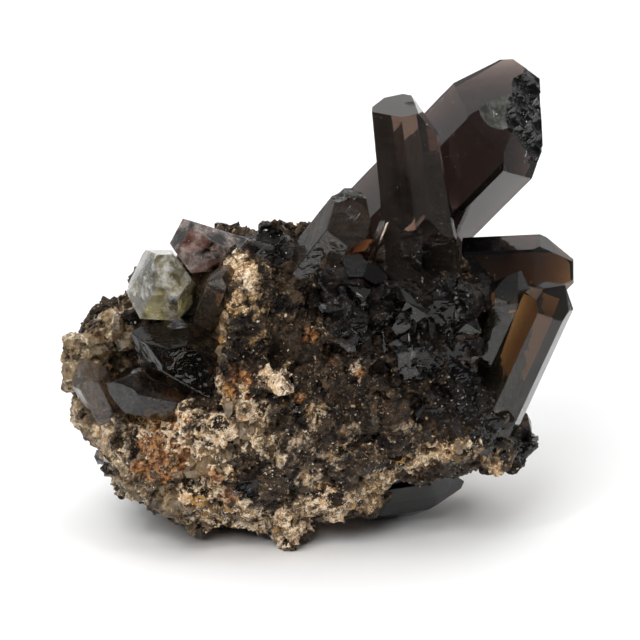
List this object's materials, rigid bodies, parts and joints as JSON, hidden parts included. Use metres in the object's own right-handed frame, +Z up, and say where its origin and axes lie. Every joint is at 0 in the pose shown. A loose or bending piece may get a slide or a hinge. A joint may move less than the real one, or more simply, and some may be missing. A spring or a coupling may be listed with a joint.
{
  "type": "morion quartz cluster",
  "caption": "Cluster of near-black smoky quartz crystals on a broken, granular matrix, a loose specimen that rests on a flat surface.",
  "frame": {"origin": "under the middle of the whole cluster, on the surface that it rests on", "axes": "+Z up, +X to the right as the broken front face is seen, -Y towards the viewer of that face"},
  "size_m": [0.0796, 0.0472, 0.0705],
  "materials": {
    "smoky_quartz": "near-black smoky quartz, see-through brown where thin, glossy natural faces",
    "hazy_quartz": "pale olive, cloudy quartz with a glossy skin",
    "matrix_rock": "rough granular quartz, dark with cream, tan and rust crusts"
  },
  "bodies": {
    "root": {"matrix": "matrix_rock", "main_crystal": "smoky_quartz", "upright_crystal": "smoky_quartz", "shoulder_crystal": "smoky_quartz", "base_crystal": "smoky_quartz", "right_crystals": "smoky_quartz", "upper_left_crystal": "smoky_quartz", "hazy_crystal": "hazy_quartz", "blade_crystal": "smoky_quartz", "left_dark_crystals": "smoky_quartz", "left_edge_crystal": "smoky_quartz", "under_crystal": "smoky_quartz", "splinter": "hazy_quartz", "rear_crystal_left": "smoky_quartz", "rear_crystal_right": "smoky_quartz", "rear_crystal_low": "smoky_quartz"}
  },
  "joints": []
}
